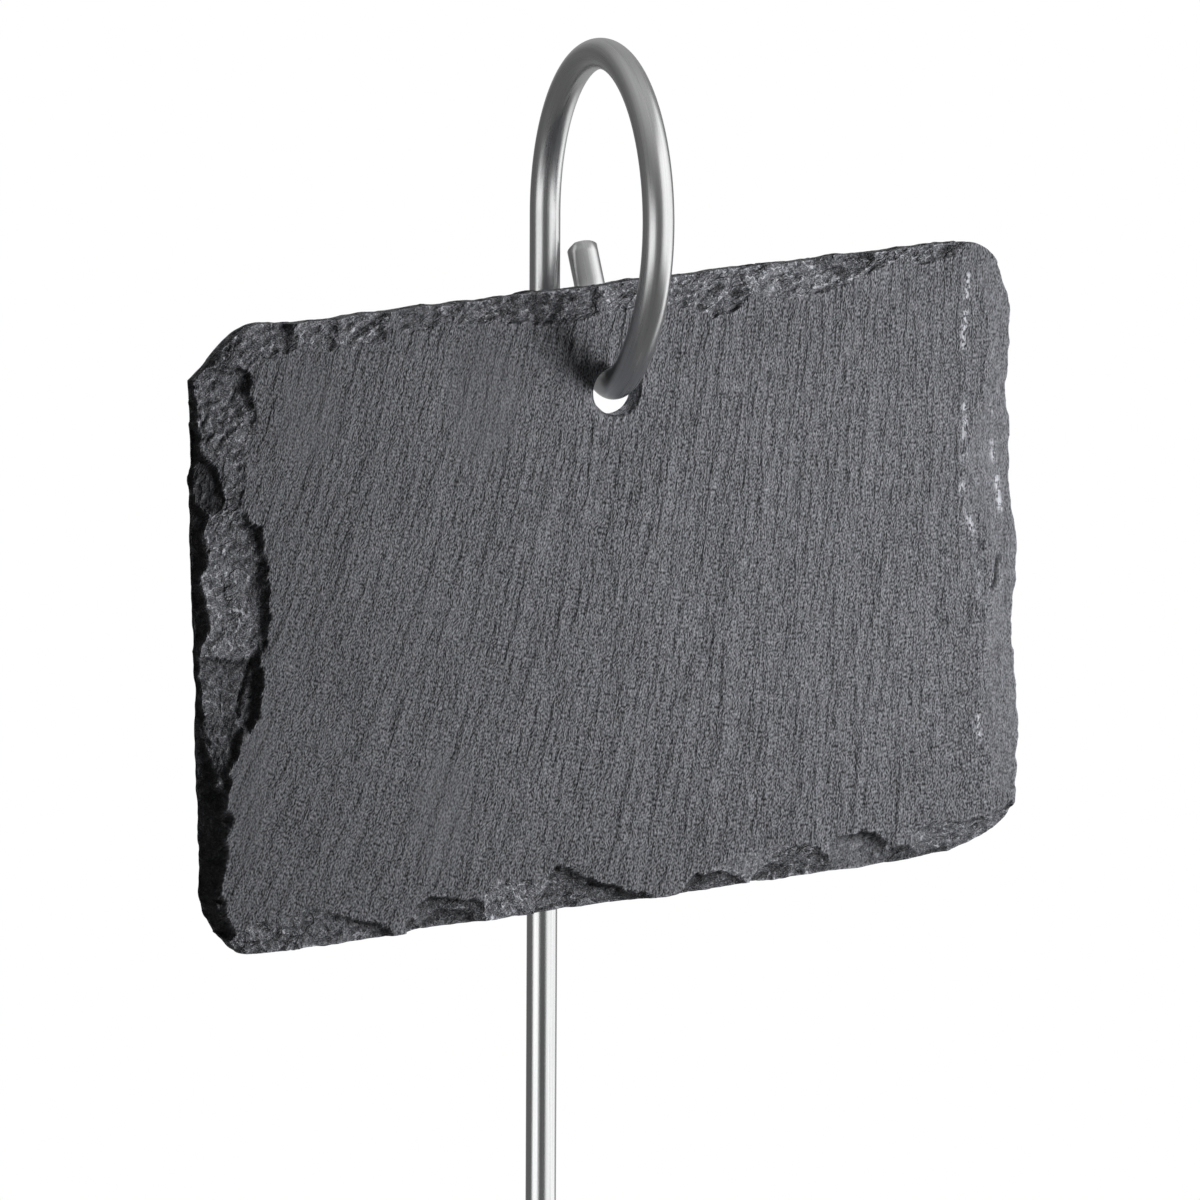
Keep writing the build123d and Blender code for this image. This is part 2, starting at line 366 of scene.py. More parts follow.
# Dark seams between the shards, and pale curls and sparkles of crystal that carry painted glints
SEAM_SIZE = (3.2, 3.2, 0.9)
SEAM_WIDTH = 0.035
SEAM_TONE = 0.3
SEAM_RELIEF = -0.15
SEAM_PATCH = 2.0
SEAM_OPEN = 0.12
CURL_SIZE = 1.1
CURL_WIDTH = 0.05
SPARKLE_SHARE = 0.38

# Spots of noise: bumps in a millimetre, and the levels at which a spot starts and is full
Spots = namedtuple("Spots", "per_mm low high")
CURL_SPOTS = Spots((1.3, 1.3, 1.3), 0.50, 0.60)
SPARKLES = Spots((3.2, 3.2, 3.2), 0.60, 0.66)
MICA_SPECKS = Spots((2.6, 2.6, 1.6), 0.46, 0.54)

# Steel: bumps in a millimetre across and along the wire, and what they add to tone and roughness
STEEL_TINT = (0.99, 0.995, 1.0)
DRAW_LINES = (4.5, 4.5, 0.05)
HANDLING = (0.6, 0.6, 0.12)
PITS = (5.0, 5.0, 3.0)
DRAWN_TONES = (0.50, 0.78)
PIT_TONES = (0.90, 1.10)
HANDLED_ROUGH = (-0.03, 0.05)
DRAWN_ROUGH = (-0.04, 0.06)
STEEL_RELIEF = 0.006

# Roughness of the shank and of the bends, and where it changes, from the start of the ring's bend
SATIN = (0.16, 0.27)
SATIN_FROM = (-25, 15)

# Lamps: bearing to the right of straight on, height, and in metres and watts their distance, size and power
Lamp = namedtuple("Lamp", "name bearing height distance size power")
LAMPS = [
    Lamp("key", radians(25), radians(7), 0.20, (0.07, 0.025), 0.345),
    Lamp("side", radians(54), radians(7), 0.22, (0.10, 0.05), 0.12),
    Lamp("top", radians(20), radians(62), 0.5, (0.5, 0.4), 0.06),
    Lamp("back", radians(160), radians(40), 0.45, (0.35, 0.25), 2.0),
]
LAMP_SPREAD = radians(150)
AMBIENT = 0.006

# Floor, in metres: its radius and grey, and how its white grows from the middle outwards
FLOOR_R = 1.2
FLOOR_SIDES = 128
FLOOR_GREY = (0.85, 0.85, 0.85, 1)
FLOOR_WHITE_FROM = (0.1, 0.9)
FLOOR_LEAST_WHITE = 0.10

# What metal sees around it: panels, in degrees by bearing from the camera's and height, and darker bays
Panel = namedtuple("Panel", "left right low high level")
PANELS = [
    Panel(-68, -22, -24, 5, 1.45),
    Panel(35, 125, -26, 45, 1.25),
    Panel(112, 150, -48, -12, 0.9),
]
PANEL_BLUR = 12
FRONT_LEVEL = 0.15
CEILING_LEVEL = 0.58
CEILING_FROM = (radians(5), radians(80))
BEHIND_LEVEL = 0.42
BEHIND_FROM = (radians(140), radians(170))
WHITE = (1, 1, 1, 1)

# Seeded noise: cells of its table before it repeats, and how each octave is turned and lowered
NOISE_CELLS = 256
OCTAVE_TURN = 0.6
OCTAVE_FALL = 0.55


def smoothstep(low, high, value):
    """0 below low, 1 above high and a smooth rise between."""
    share = np.clip((value - low) / (high - low), 0, 1)
    return share * share * (3 - 2 * share)


def unit(rows):
    """Each row's vector with the length 1."""
    return rows / np.linalg.norm(rows, axis=1)[:, None]


def run_along(points):
    """Distance of each point along the line through them."""
    return np.concatenate(((0,), np.cumsum(np.linalg.norm(np.diff(points, axis=0), axis=1))))


def cell_corners(gx, gz, seed):
    """Seeded numbers from -1 to 1 at the corners of each place's cell, and its shares across the cell."""
    table = np.random.default_rng(seed).uniform(-1, 1, (NOISE_CELLS, NOISE_CELLS))
    ix, iz = np.floor(gx).astype(int), np.floor(gz).astype(int)
    columns, rows = [(i % NOISE_CELLS, (i + 1) % NOISE_CELLS) for i in (ix, iz)]
    return [[table[column, row] for row in rows] for column in columns], gx - ix, gz - iz


def noise(x, z, size, seed):
    """Seeded smooth noise from -1 to 1 with bumps about size wide."""
    ((a, b), (c, d)), fx, fz = cell_corners(np.asarray(x) / size, np.asarray(z) / size, seed)
    fx, fz = (f**3 * (f * (f * 6 - 15) + 10) for f in (fx, fz))
    low = a * (1 - fx) + c * fx
    high = b * (1 - fx) + d * fx
    return low * (1 - fz) + high * fz


def fractal(x, z, size, octaves, seed):
    """Noise summed over octaves, each turned, lower and half as wide as the one before."""
    total = 0
    for i in range(octaves):
        c, s = cos(OCTAVE_TURN * i), sin(OCTAVE_TURN * i)
        total = total + OCTAVE_FALL**i * noise(c * x - s * z, s * x + c * z, size / 2**i, seed + i)
    return total


def facets(x, z, size, seed):
    """Seeded heights from -1 to 1 with flat triangular faces about size wide and sharp creases."""
    skew = (x + z) * (3**0.5 - 1) / 2
    ((first, b), (c, last)), fx, fz = cell_corners((x + skew) / size, (z + skew) / size, seed)
    beside = np.where(fx > fz, c, b)
    more, less = np.maximum(fx, fz), np.minimum(fx, fz)
    return first + (beside - first) * more + (last - beside) * less


# Materials


def emptied(owner):
    """Node tree of a material or world, without nodes."""
    owner.use_nodes = True
    owner.node_tree.nodes.clear()
    return owner.node_tree


def put(tree, socket, value):
    """Links an output to a socket, or sets the socket's own value."""
    if isinstance(value, bpy.types.NodeSocket):
        tree.links.new(value, socket)
    else:
        socket.default_value = value


def made(tree, kind, output, inputs, **settings):
    """Output of a new node; its inputs, by name or number, are links or values."""
    node = tree.nodes.new("ShaderNode" + kind)
    for name, value in settings.items():
        setattr(node, name, value)
    for socket, value in inputs.items():
        put(tree, node.inputs[socket], value)
    return node.outputs[output]


def finished(tree, kind, shader):
    """Links a shader to the output of a material or world."""
    put(tree, tree.nodes.new("ShaderNodeOutput" + kind).inputs["Surface"], shader)


def new_material(name):
    """Material with a Principled shader; returns the material, its nodes and the shader."""
    material = bpy.data.materials.new(name)
    tree = emptied(material)
    shader = tree.nodes.new("ShaderNodeBsdfPrincipled")
    finished(tree, "Material", shader.outputs["BSDF"])
    return material, tree, shader


def maths(tree, operation, *values):
    """Output of a Math node."""
    return made(tree, "Math", "Value", dict(enumerate(values)), operation=operation)


def scaled(tree, vector, factors):
    """Vector multiplied part by part."""
    return made(tree, "VectorMath", "Vector", {0: vector, 1: factors}, operation="MULTIPLY")


def turned(tree, vector, angle, centre):
    """Vector turned about a line through centre along Y, across the slate's face."""
    inputs = {"Vector": vector, "Center": centre, "Angle": angle}
    return made(tree, "VectorRotate", "Vector", inputs, rotation_type="Y_AXIS")


def part(tree, vector, axis):
    """One part of a vector."""
    return made(tree, "SeparateXYZ", axis, {"Vector": vector})


def noise_at(tree, vector, detail=2.0, roughness=0.5, output="Fac"):
    """Noise from 0 to 1 with one bump per unit of vector."""
    inputs = {"Vector": vector, "Scale": 1.0, "Detail": detail, "Roughness": roughness}
    return made(tree, "TexNoise", output, inputs)


def swing_at(tree, vector, size, detail=0.0):
    """Noise about 0 with bumps of a size, which is one number or one for each axis."""
    sizes = size if isinstance(size, tuple) else (size,) * 3
    found = noise_at(tree, scaled(tree, vector, tuple(1 / s for s in sizes)), detail)
    return maths(tree, "SUBTRACT", found, 0.5)


def summed(tree, terms):
    """Sum of (value, weight) terms."""
    total = 0.0
    for value, weight in terms:
        total = maths(tree, "MULTIPLY_ADD", value, weight, total)
    return total


def ramp(tree, value, stops):
    """Grey ramp through (place, level) stops."""
    node = tree.nodes.new("ShaderNodeValToRGB")
    put(tree, node.inputs["Fac"], value)
    band = node.color_ramp
    while len(band.elements) < len(stops):
        band.elements.new(0.5)
    for element, (place, level) in zip(band.elements, stops):
        element.position = place
        element.color = (level, level, level, 1)
    return node.outputs["Color"]


def mixed(tree, share, first, second):
    """Number between first and second."""
    return made(tree, "Mix", "Result", {"Factor": share, "A": first, "B": second})


def rise(tree, value, start, end, low=0.0):
    """Smooth rise from low at start to 1 at end."""
    inputs = {"Value": value, "From Min": start, "From Max": end, "To Min": low}
    return made(tree, "MapRange", "Result", inputs, interpolation_type="SMOOTHSTEP")


def spots_at(tree, vector, spots):
    """1 in spots of noise and 0 between them."""
    found = noise_at(tree, scaled(tree, vector, spots.per_mm), detail=1.0, roughness=0.6)
    return ramp(tree, found, [(spots.low, 0.0), (spots.high, 1.0)])


def lines_at(tree, vector, size, width):
    """1 on lines where noise of a size passes its middle, and 0 where it is more than width away from it."""
    away = maths(tree, "ABSOLUTE", swing_at(tree, vector, size, detail=1.0))
    return ramp(tree, away, [(0.0, 1.0), (width, 0.0)])


def attribute(tree, name, output="Fac"):
    """A value stored on the mesh's vertices."""
    return made(tree, "Attribute", output, {}, attribute_name=name)


def tinted(tree, tone, tint):
    """Colour of a tone with a tint."""
    channels = [maths(tree, "MULTIPLY", tone, share) for share in tint]
    return made(tree, "CombineColor", "Color", dict(zip(("Red", "Green", "Blue"), channels)))


def bumped(tree, shader, height):
    """Gives a shader relief from a height in millimetres."""
    inputs = {"Strength": 1.0, "Distance": MM, "Height": height}
    put(tree, shader.inputs["Normal"], made(tree, "Bump", "Normal", inputs))


def streak_way(tree, in_mm):
    """Place along (X) and across (Z) the cleft, which turns from the left end to the right and wanders."""
    share = maths(tree, "MULTIPLY_ADD", part(tree, in_mm, "X"), 1 / FACE_SPAN, 0.5)
    angle = mixed(tree, share, *STREAK_ANGLES)
    wander = noise_at(tree, scaled(tree, in_mm, (1 / WANDER_SIZE,) * 3), detail=1.0, output="Color")
    inputs = {0: wander, 1: (STREAK_WANDER, 0.0, STREAK_WANDER), 2: in_mm}
    moved = made(tree, "VectorMath", "Vector", inputs, operation="MULTIPLY_ADD")
    return turned(tree, moved, angle, FACE_MIDDLE)


def face_of(tree, in_mm):
    """Tone and relief of the cleft face, and a swing for its roughness."""
    way = streak_way(tree, in_mm)
    swings = [swing_at(tree, way, (s.length, FAR, s.width)) for s in STREAKS]
    flaky = attribute(tree, "flaky")
    flakes = maths(tree, "MULTIPLY", swing_at(tree, in_mm, FLAKE_SIZE, detail=1.0), flaky)
    kept = mixed(tree, flaky, 1.0, FLAKED_STREAKS)
    busy = mixed(tree, attribute(tree, "calm"), 1.0, CALM_STREAKS)

    def combined(weights, flake_weight):
        """Sum of the streaks and flakes; all streaks but the finest give way where the face is flaky."""
        longer = summed(tree, zip(swings[1:], weights[1:]))
        total = summed(tree, [(longer, kept), (swings[0], weights[0]), (flakes, flake_weight)])
        return maths(tree, "MULTIPLY", total, busy)

    grain = combined([s.tone for s in STREAKS], FLAKE_TONE)
    grain = maths(tree, "MULTIPLY_ADD", grain, FACE_GRAIN, 1.0)
    tone = maths(tree, "MULTIPLY", FACE_TONE, maths(tree, "MAXIMUM", grain, DARKEST_GRAIN))
    return tone, combined([s.relief for s in STREAKS], FLAKE_RELIEF), swings[1]


def chips_of(tree, in_mm):
    """Tone and relief of the broken stone: crystals and lumps, pale curls and sparkles with painted glints,
    and dark seams.
    """
    swings = [swing_at(tree, in_mm, grain.size, detail=1.0) for grain in CHIP_GRAINS]
    seam = lines_at(tree, turned(tree, in_mm, SHARD_SLANT, FACE_MIDDLE), SEAM_SIZE, SEAM_WIDTH)
    opened = ramp(tree, swing_at(tree, in_mm, SEAM_PATCH), [(0.0, 0.0), (SEAM_OPEN, 1.0)])
    seam = maths(tree, "MULTIPLY", seam, opened)
    curls = lines_at(tree, in_mm, CURL_SIZE, CURL_WIDTH)
    curls = maths(tree, "MULTIPLY", curls, spots_at(tree, in_mm, CURL_SPOTS))
    sparkles = maths(tree, "MULTIPLY", spots_at(tree, in_mm, SPARKLES), SPARKLE_SHARE)
    stops = summed(tree, zip(swings, [grain.stops for grain in CHIP_GRAINS]))
    tone = maths(tree, "MULTIPLY", CHIP_TONE, maths(tree, "POWER", 2.0, stops))
    # Curls and sparkles: pale crystal with painted glints in the tone
    for speck_and_glint in (curls, sparkles):
        tone = mixed(tree, speck_and_glint, tone, PALE_CRYSTAL_AND_GLINT_TONE)
    tone = maths(tree, "MULTIPLY", tone, mixed(tree, seam, 1.0, SEAM_TONE))
    relief = summed(tree, zip([*swings, seam], [*(grain.relief for grain in CHIP_GRAINS), SEAM_RELIEF]))
    return tone, relief


def slate_material():
    """Dark cleft slate: slanting streaks at every scale on the face, broken crystals in the chips."""
    material, tree, shader = new_material("slate")
    in_mm = scaled(tree, made(tree, "TexCoord", "Object", {}), (1 / MM,) * 3)
    chip = attribute(tree, "chip")
    face_tone, cleft, swing = face_of(tree, in_mm)
    chip_tone, rubble = chips_of(tree, in_mm)
    tone = mixed(tree, chip, face_tone, chip_tone)
    tone = maths(tree, "MULTIPLY", tone, attribute(tree, "tone"))
    # Crests paler with wear, grooves darker with painted shade
    worn_and_shaded = maths(tree, "MULTIPLY_ADD", attribute(tree, "crest"), CREST_WEAR_AND_GROOVE_SHADE, 1.0)
    tone = maths(tree, "MULTIPLY", tone, maths(tree, "MAXIMUM", GROOVE_SHADE_LEAST, worn_and_shaded))
    mica = maths(tree, "MULTIPLY", attribute(tree, "fleck"), spots_at(tree, in_mm, MICA_SPECKS))
    tone = mixed(tree, mica, tone, FLECK_TONE)
    put(tree, shader.inputs["Base Color"], tinted(tree, tone, SLATE_TINT))
    rough = maths(tree, "MULTIPLY_ADD", swing, SLATE_ROUGH_SWING, SLATE_ROUGH)
    put(tree, shader.inputs["Roughness"], rough)
    shader.inputs["Specular IOR Level"].default_value = SLATE_SPECULAR
    bumped(tree, shader, mixed(tree, chip, cleft, rubble))
    return material


def steel_material():
    """Drawn stainless wire with fine lines along it, polished on the shank and satin wherever it bends."""
    material, tree, shader = new_material("stainless")
    straight = attribute(tree, "straight_wire", "Vector")
    draw_lines = noise_at(tree, scaled(tree, straight, DRAW_LINES), detail=2.0, roughness=0.6)
    handling = noise_at(tree, scaled(tree, straight, HANDLING), detail=3.0, roughness=0.6)
    pits = noise_at(tree, scaled(tree, straight, PITS), detail=3.0, roughness=0.65)

    tone = maths(tree, "MULTIPLY", mixed(tree, draw_lines, *DRAWN_TONES), mixed(tree, pits, *PIT_TONES))
    put(tree, shader.inputs["Base Color"], tinted(tree, tone, STEEL_TINT))
    shader.inputs["Metallic"].default_value = 1.0
    bend_start = RING_HEIGHT - wire_foot()
    bent = rise(tree, part(tree, straight, "Z"), *(bend_start + past for past in SATIN_FROM))
    rough = mixed(tree, bent, *SATIN)
    rough = maths(tree, "ADD", rough, mixed(tree, handling, *HANDLED_ROUGH))
    rough = maths(tree, "ADD", rough, mixed(tree, draw_lines, *DRAWN_ROUGH))
    put(tree, shader.inputs["Roughness"], rough)
    bumped(tree, shader, summed(tree, [(draw_lines, STEEL_RELIEF), (pits, STEEL_RELIEF)]))
    return material


def new_piece(name, vertices, faces, material):
    """Smooth-shaded mesh object from vertices in millimetres."""
    mesh = bpy.data.meshes.new(name)
    mesh.from_pydata([tuple(v) for v in np.asarray(vertices) * MM], [], faces)
    mesh.materials.append(material)
    mesh.polygons.foreach_set("use_smooth", [True] * len(mesh.polygons))
    mesh.update()
    piece = bpy.data.objects.new(name, mesh)
    bpy.context.scene.collection.objects.link(piece)
    return piece


def store(piece, name, values):
    """Keeps one number or one vector for each vertex of a piece."""
    values = np.asarray(values, np.float32)
    kind, field = ("FLOAT", "value") if values.ndim == 1 else ("FLOAT_VECTOR", "vector")
    stored = piece.data.attributes.new(name, kind, "POINT")
    stored.data.foreach_set(field, values.ravel())


class Skin:
    """Vertices and faces of a mesh while it is put together."""

    def __init__(self):
        self.vertices = []
        self.faces = []

    def add(self, x, y, z):
        """Adds vertices and returns their numbers."""
        first = len(self.vertices)
        self.vertices.extend(zip(np.ravel(x), np.ravel(y), np.ravel(z)))
        return np.arange(first, len(self.vertices)).reshape(np.shape(x))

    def spots(self, numbers):
        """Places of some vertices."""
        return np.array([self.vertices[i] for i in numbers])

    def quads(self, grid, block, flip):
        """Faces of a grid of numbers, without a block of it."""
        for r in range(grid.shape[0] - 1):
            for c in range(grid.shape[1] - 1):
                if block[0] <= r < block[1] and block[2] <= c < block[3]:
                    continue
                face = (grid[r, c], grid[r, c + 1], grid[r + 1, c + 1], grid[r + 1, c])
                self.faces.append(face[::-1] if flip else face)

    def band(self, outer, inner, flip=False):
        """Faces between two closed rows of numbers; the inner row has as many as the outer one, or half."""
        step = len(outer) // len(inner)
        closed = [*outer, outer[0]]
        for i, number in enumerate(inner):
            next_number = inner[(i + 1) % len(inner)]
            face = (*closed[step * i:step * (i + 1) + 1], next_number, number)
            self.faces.append(face[::-1] if flip else face)

    def without_loose(self):
        """Places of the vertices that faces use, and the faces with the new numbers."""
        used = np.unique(np.concatenate(self.faces))
        renumbered = np.zeros(len(self.vertices), int)
        renumbered[used] = np.arange(len(used))
        return np.array(self.vertices)[used], [tuple(renumbered[list(face)]) for face in self.faces]


# Wire stake


def wire_foot():
    """Height of the wire's point."""
    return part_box("wire_stake")[0].z / MM


def shank_heights(foot):
    """Heights of the rows of the straight shank, close together at its point."""
    point = [foot, foot + TIP_STEP, *np.arange(foot + POINT_STEP, foot + POINT_LENGTH, POINT_STEP)]
    rows = round((RING_HEIGHT - foot) / SHANK_STEP)
    return np.concatenate((point, np.linspace(foot + POINT_LENGTH, RING_HEIGHT, rows)))


def arc(place, way, inward, radius, turns):
    """Places and directions at turns along an arc that leaves a place one way and bends inward."""
    c, s = np.cos(turns)[:, None], np.sin(turns)[:, None]
    return place + radius * (inward * (1 - c) + way * s), way * c + inward * s


def straight_line(place, way, steps):
    """Places and directions at steps along a straight line from a place."""
    return place + np.outer(steps, way), np.tile(way, (len(steps), 1))


def wire_line():
    """Centre line of the wire from its point to its free end: places, directions and distances along."""
    foot = wire_foot()
    heights = shank_heights(foot)
    turns = np.linspace(0, RING_TURN, round(RING_TURN / RING_STEP) + 1)[1:]
    bend_turns = np.linspace(0, END_BEND, END_BEND_STEPS + 1)[1:]
    end_steps = np.linspace(0, END_LENGTH, END_STEPS + 1)[1:]

    up = np.array((0, 0, 1.0))
    ring_start = (up * RING_HEIGHT, up, np.array((0, -1.0, 0)), RING_R)
    (flat_end,), (flat_way,) = arc(*ring_start, np.array((FLAT_TURN,)))
    tail_centre = np.array(frame["joints"][0]["pos_m"]) / MM
    tail_inward = (tail_centre - flat_end) / RING_R
    shank = straight_line(0 * up, up, heights)
    flat = arc(*ring_start, turns[turns <= FLAT_TURN])
    tail = arc(flat_end, flat_way, tail_inward, RING_R, turns[turns > FLAT_TURN] - FLAT_TURN)
    bend = arc(tail[0][-1], tail[1][-1], np.cross(tail_inward, flat_way), END_BEND_R, bend_turns)
    end = straight_line(bend[0][-1], bend[1][-1], end_steps)
    places, ways = (np.concatenate(found) for found in zip(shank, flat, tail, bend, end))

    lengths = [heights - foot]
    for steps in (RING_R * turns, END_BEND_R * bend_turns, end_steps):
        lengths.append(lengths[-1][-1] + steps)
    return places, ways, np.concatenate(lengths)


def nipped(offsets, to_shank):
    """How far the nip takes the free end back, at offsets from the wire's middle."""
    return np.minimum(0, (NIP_OFFSET - offsets @ to_shank) * tan(NIP_ANGLE))


def wire_rows():
    """Rows of places round the wire, from its point to its cut end, and the same rows on straight wire."""
    places, ways, lengths = wire_line()
    angles = np.linspace(0, 2 * pi, WIRE_SIDES, endpoint=False)
    side = np.array((1.0, 0, 0))
    rows, unbent = [], []
    end_way = ways[-1]
    to_shank = np.cross(np.cross(end_way, (-1.0, 0, 0)), end_way)
    to_shank /= np.linalg.norm(to_shank)
    nip_start = lengths[-1] - NIPPED_STRETCH
    for place, way, length in zip(places, ways, lengths):
        side = side - way * (side @ way)
        side /= np.linalg.norm(side)
        radius = min(WIRE_R, POINT_R + (WIRE_R - POINT_R) * length / POINT_LENGTH)
        circle = radius * np.column_stack((np.cos(angles), np.sin(angles)))
        offsets = circle @ np.array((side, np.cross(way, side)))
        pull = nipped(offsets, to_shank) * max(0, (length - nip_start) / NIPPED_STRETCH)
        rows.append(place + offsets + np.outer(pull, way))
        unbent.append(np.column_stack((circle, length + pull)))

    rows[-1] = rows[-1] - END_BREAK * end_way
    for share in CUT_ROWS:
        inner = share * offsets
        level = nipped(inner, to_shank)
        rows.append(places[-1] + inner + np.outer(level, end_way))
        unbent.append(np.column_stack((share * unbent[-1][:, :2], lengths[-1] + level)))
    return rows, unbent


def wire_stake(material):
    """Round wire swept along its line, with a ground point and a free end that is nipped on one side."""
    rows, unbent = wire_rows()
    skin = Skin()
    rings = [skin.add(*row.T) for row in rows]
    for ring, next_ring in zip(rings, rings[1:]):
        skin.band(ring, next_ring)
    skin.faces += [tuple(rings[0][::-1]), tuple(rings[-1])]
    piece = new_piece("wire_stake_visual", skin.vertices, skin.faces, material)
    store(piece, "straight_wire", np.concatenate(unbent))
    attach(piece, "stake")
    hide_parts("wire_stake")


# Slate plaque


def spread(length, step):
    """Shares from 0 to 1 along an edge, close together near both ends; their number is even."""
    fine = round(FINE_BAND / FINE_STEP)
    middle = 2 * round((length - 2 * FINE_BAND) / step / 2)
    places = np.concatenate((
        np.linspace(0, FINE_BAND, fine, endpoint=False),
        np.linspace(FINE_BAND, length - FINE_BAND, middle, endpoint=False),
        np.linspace(length - FINE_BAND, length, fine + 1),
    ))
    return places / length


def curve_through(points, shares):
    """Points at shares of the length of a smooth curve through points."""
    points = np.array(points)
    ends = np.vstack((2 * points[0] - points[1], points, 2 * points[-1] - points[-2]))
    finer = []
    t = np.linspace(0, 1, CURVE_STEPS, endpoint=False)[:, None]
    for a, b, c, d in zip(ends, ends[1:], ends[2:], ends[3:]):
        reach = np.linalg.norm(c - b)
        start = (c - a) / np.linalg.norm(c - a) * reach
        finish = (d - b) / np.linalg.norm(d - b) * reach
        h1 = 2 * t**3 - 3 * t**2 + 1
        h2 = t**3 - 2 * t**2 + t
        h3 = t**3 - t**2
        finer.append(h1 * b + h2 * start + (1 - h1) * c + h3 * finish)
    finer = np.vstack((*finer, points[-1:]))
    run = run_along(finer)
    return np.column_stack([np.interp(shares * run[-1], run, finer[:, k]) for k in (0, 1)])


def ragged(points, bite, seed):
    """An edge with small bites and bumps about bite deep, and none at its ends."""
    x, z = points.T
    wave = bite * fractal(x, z, BITE_SIZE, 4, seed)
    steps = np.gradient(points, axis=0)
    out = unit(np.column_stack((steps[:, 1], -steps[:, 0])))
    steps_in = np.arange(len(x))
    fade = np.minimum(1, np.minimum(steps_in, steps_in[::-1]) / BITE_FADE)
    return points + out * (wave * fade)[:, None]


def slate_grid():
    """Places (x, z) of a grid that fills the outline, by row from the bottom, and the outline's edges."""
    shares_across, shares_up = (spread(length, FACE_STEP) for length in FACE_SIZE)
    bottom = ragged(curve_through(BOTTOM_EDGE, shares_across), BITES["bottom"], seed=11)
    top = ragged(curve_through(TOP_EDGE, shares_across), BITES["top"], seed=12)
    left = ragged(curve_through(LEFT_EDGE, shares_up), BITES["left"], seed=13)
    right = ragged(curve_through(RIGHT_EDGE, shares_up), BITES["right"], seed=14)
    u = shares_across[None, :, None]
    v = shares_up[:, None, None]
    ruled = (1 - v) * bottom[None] + v * top[None] + (1 - u) * left[:, None] + u * right[:, None]
    corners = (1 - v) * ((1 - u) * bottom[0] + u * bottom[-1]) + v * ((1 - u) * top[0] + u * top[-1])
    edges = {"left": left, "top": top, "right": right, "bottom": bottom}
    return ruled - corners, edges


def from_edge(edges, name, x, z):
    """Place along an edge and distance in from it."""
    edge = edges[name]
    if name in ("left", "right"):
        line = np.interp(z, edge[:, 1], edge[:, 0])
        return z, (x - line) * (1 if name == "left" else -1)
    line = np.interp(x, edge[:, 0], edge[:, 1])
    return x, (z - line) * (1 if name == "bottom" else -1)


def line_distance(x, z, points):
    """Distance from a line through points."""
    best = np.full(np.shape(x), np.inf)
    for (ax, az), (bx, bz) in zip(points, points[1:]):
        dx, dz = bx - ax, bz - az
        share = np.clip(((x - ax) * dx + (z - az) * dz) / (dx * dx + dz * dz), 0, 1)
        best = np.minimum(best, np.hypot(x - ax - share * dx, z - az - share * dz))
    return best


def scar_at(x, z, edges, scar):
    """Distance into a scar from its border, the border's distance from the edge, the ledge there,
    and a taper that is 0 at the scar's ends."""
    border_x, border_z, ledge = np.array(scar.border).T
    upright = scar.edge in ("left", "right")
    place, across = (z, x) if upright else (x, z)
    run, border = (border_z, border_x) if upright else (border_x, border_z)
    outward = 1 if scar.edge in ("right", "top") else -1
    inside = outward * (across - np.interp(place, run, border))
    ends = np.minimum(place - run[0], run[-1] - place)
    _, inset = from_edge(edges, scar.edge, x, z)
    reach = np.maximum(LEAST_REACH, inset + inside)
    return inside, reach, np.interp(place, run, ledge), smoothstep(0, SCAR_ENDS[scar.edge], ends)


def scars_at(x, z, wandered, edges):
    """Depth, roughness and tone of the scars, with painted shade at the foot of some ledges; where they
    overlap, the deepest one shows.
    """
    depth = np.zeros(np.shape(x))
    rough = np.zeros(np.shape(x))
    tone = np.ones(np.shape(x))
    varied = 1 + WALL_VARIES * noise(x, z, WALL_VARY_SIZE, seed=27)
    for scar in SCARS:
        inside, reach, ledge, taper = scar_at(*wandered, edges, scar)
        into = np.maximum(0, inside)
        wall = 1 - np.exp(-into / ((WALL_WIDTH + WALL_SPREAD * ledge) * varied))
        slope = np.clip(inside / reach, 0, 1)
        fall = (ledge * wall + np.maximum(0, scar.depth - ledge) * slope) * taper
        fall = fall * smoothstep(0, FULL_REACH, reach)
        # Painted shade darkens the tone at the foot of ledges on the edges in LEDGE_FOOT
        shade = 1.0
        if scar.edge in LEDGE_FOOT:
            foot = np.exp(-into / (FOOT_WIDTH + LEDGE_FOOT[scar.edge] * ledge))
            shade = 1 - LEDGE_SHADE * smoothstep(*LEDGE_HEIGHTS, ledge) * foot
        deeper = fall > depth
        rough = np.where(deeper, scar.rough, rough)
        tone = np.where(deeper, 1 + (scar.tone * shade - 1) * smoothstep(0, TONE_DEPTH, fall), tone)
        depth = np.where(deeper, fall, depth)
    return depth, rough, tone


def layered(depth, broken, x, z):
    """Depth with the steps of the stone's layers where it is broken."""
    sway = LAYER_SWAY * fractal(x, z, LAYER_SIZE, octaves=3, seed=23)
    level = depth / LAYER + sway
    stepped = LAYER * (np.floor(level) + smoothstep(LAYER_EDGE, 1, level % 1) - sway)
    return depth + broken * LAYER_SHARE * (stepped - depth)


def shards_at(x, z):
    """How deep the sharp faces of the broken stone lie."""
    along = (x * cos(SHARD_SLANT) + z * sin(SHARD_SLANT)) / SHARD_STRETCH
    across = z * cos(SHARD_SLANT) - x * sin(SHARD_SLANT)
    return sum(height * facets(along, across, width, seed=24) for width, height in SHARDS)


def left_rim_at(z, wandered, edges):
    """How far out on the left edge's steep rim: 0 at its inner border and 1 at the edge."""
    place, inset = from_edge(edges, "left", *wandered)
    places, reaches = np.array(LEFT_RIM).T
    taper = smoothstep(0, RIM_ENDS, np.minimum(place - places[0], places[-1] - place))
    reach = np.interp(place, places, reaches) * (1 + RIM_VARIES * noise(z, 0 * z, RIM_VARY_SIZE, seed=26))
    return np.clip(1 - inset / reach, 0, 1) * taper


